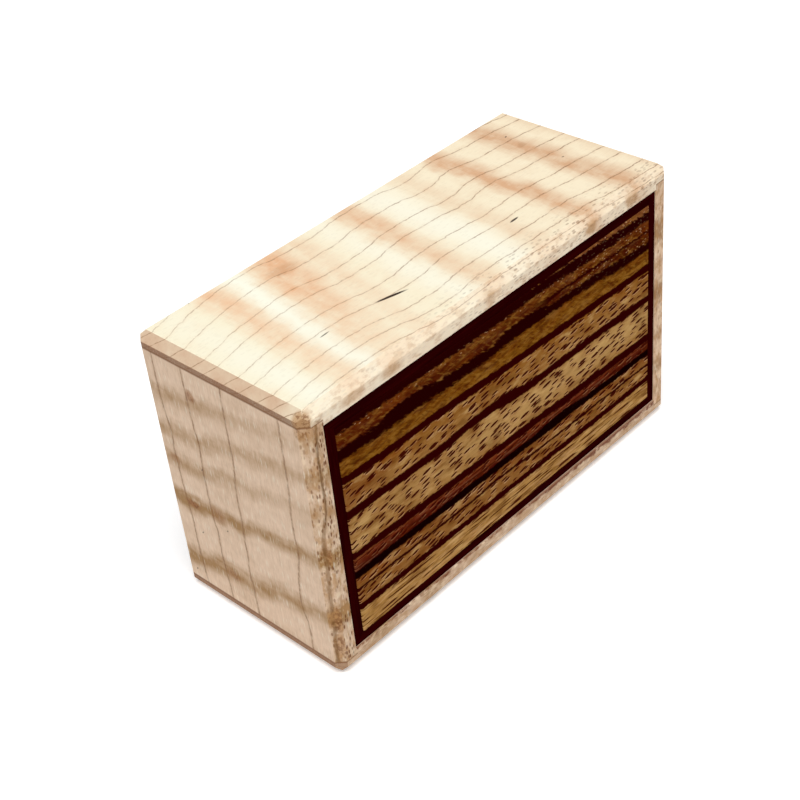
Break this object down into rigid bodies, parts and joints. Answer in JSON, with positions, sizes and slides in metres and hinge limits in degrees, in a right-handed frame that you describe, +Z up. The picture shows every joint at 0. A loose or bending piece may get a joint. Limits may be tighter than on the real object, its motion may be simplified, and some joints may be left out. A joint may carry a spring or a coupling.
{
  "type": "puzzle box",
  "caption": "Small maple trick box whose striped face is the front of a hidden drawer, held shut by a loose pin in a tilt lock.",
  "frame": {"origin": "middle of the underside, on the surface that the box stands on", "axes": "+X along the box's length, +Y from the drawer's face to the rear face, +Z up"},
  "size_m": [0.1016, 0.0428, 0.0605],
  "materials": {
    "top_board": "oiled curly maple, satin",
    "bottom_board": "oiled curly maple, satin",
    "left_end_board": "oiled curly maple, satin",
    "right_end_board": "oiled curly maple, satin",
    "rear_board": "oiled curly maple, satin",
    "rear_panel": "oiled zebrawood, satin, dark brown stripes along the grain",
    "rear_border_top": "oiled bloodwood, satin, near black-red",
    "rear_border_bottom": "oiled bloodwood, satin, near black-red",
    "rear_border_left": "oiled bloodwood, satin, near black-red",
    "rear_border_right": "oiled bloodwood, satin, near black-red",
    "lock_block": "oiled curly maple, satin",
    "bore_plug": "hardwood dowel, glued",
    "stop_peg": "hardwood dowel, waxed",
    "front_panel": "oiled zebrawood, satin, dark brown stripes along the grain",
    "front_border_top": "oiled bloodwood, satin, near black-red",
    "front_border_bottom": "oiled bloodwood, satin, near black-red",
    "front_border_left": "oiled bloodwood, satin, near black-red",
    "front_border_right": "oiled bloodwood, satin, near black-red",
    "drawer_front_board": "oiled curly maple, satin",
    "drawer_left_side": "oiled curly maple, satin",
    "drawer_right_side": "oiled curly maple, satin",
    "drawer_back": "oiled curly maple, satin",
    "drawer_bottom": "oiled curly maple, satin",
    "drawer_hook": "sawn brass, filed",
    "lock_pin": "ground steel dowel pin"
  },
  "bodies": {
    "case": {"top_board": "top_board", "bottom_board": "bottom_board", "left_end_board": "left_end_board", "right_end_board": "right_end_board", "rear_board": "rear_board", "rear_panel": "rear_panel", "rear_border_top": "rear_border_top", "rear_border_bottom": "rear_border_bottom", "rear_border_left": "rear_border_left", "rear_border_right": "rear_border_right", "lock_block": "lock_block", "bore_plug": "bore_plug", "stop_peg": "stop_peg"},
    "drawer": {"front_panel": "front_panel", "front_border_top": "front_border_top", "front_border_bottom": "front_border_bottom", "front_border_left": "front_border_left", "front_border_right": "front_border_right", "drawer_front_board": "drawer_front_board", "drawer_left_side": "drawer_left_side", "drawer_right_side": "drawer_right_side", "drawer_back": "drawer_back", "drawer_bottom": "drawer_bottom", "drawer_hook": "drawer_hook"},
    "pin": {"lock_pin": "lock_pin"}
  },
  "joints": [
    {"name": "drawer_slide", "type": "slide", "parent": "case", "child": "drawer", "axis": [0, -1, 0], "range_m": [0, 0.02]},
    {"name": "pin_slide", "type": "slide", "parent": "case", "child": "pin", "axis": [1, 0, 0], "range_m": [0, 0.009]}
  ]
}
